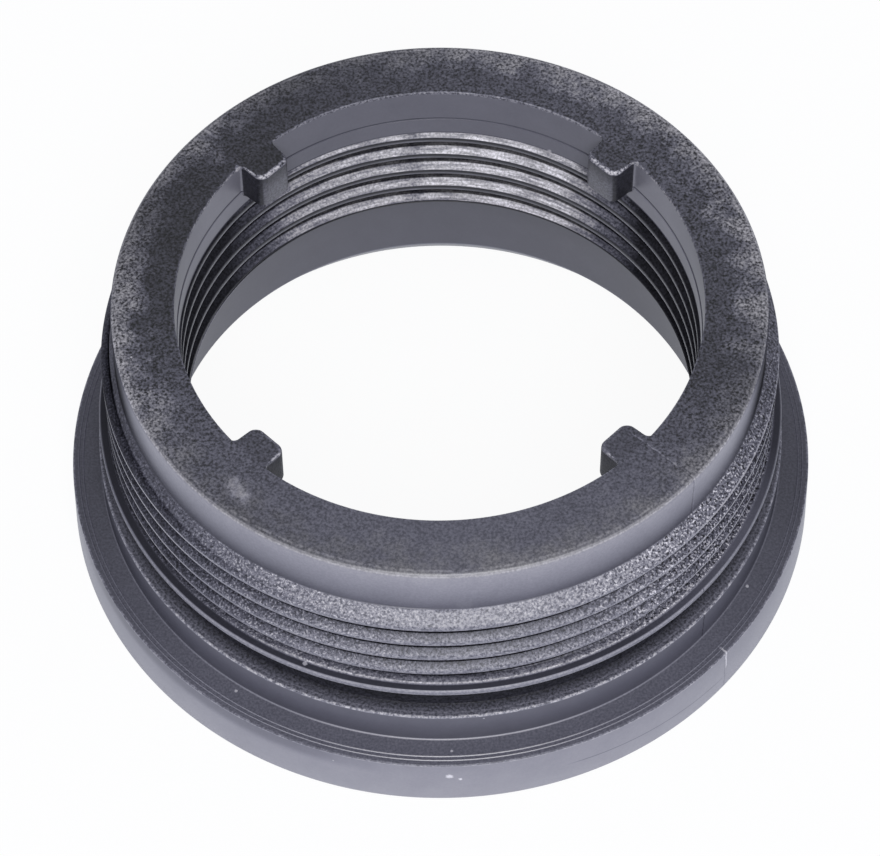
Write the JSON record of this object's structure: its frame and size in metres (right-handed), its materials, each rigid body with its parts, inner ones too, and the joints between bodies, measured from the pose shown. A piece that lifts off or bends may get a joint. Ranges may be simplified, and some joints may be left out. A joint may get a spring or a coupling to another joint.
{
  "type": "threaded adapter",
  "caption": "Moulded plastic pipe adapter ring: outside pipe thread on a collar over a round flange, a smaller inside thread in the bore, and stop lugs in its mouth.",
  "frame": {"origin": "on the axis of the ring, in the plane of the flange's underside, which it stands on", "axes": "+Z along the axis, from the flange up to the mouth with the lugs"},
  "size_m": [0.0668, 0.0668, 0.0278],
  "materials": {
    "charcoal_plastic": "charcoal moulded plastic, spark-eroded grain on the top face, thread zone and seal groove, smoother satin on the neck, mouth, counterbore and flange wall"
  },
  "bodies": {
    "root": {"adapter_ring": "charcoal_plastic"}
  },
  "joints": []
}
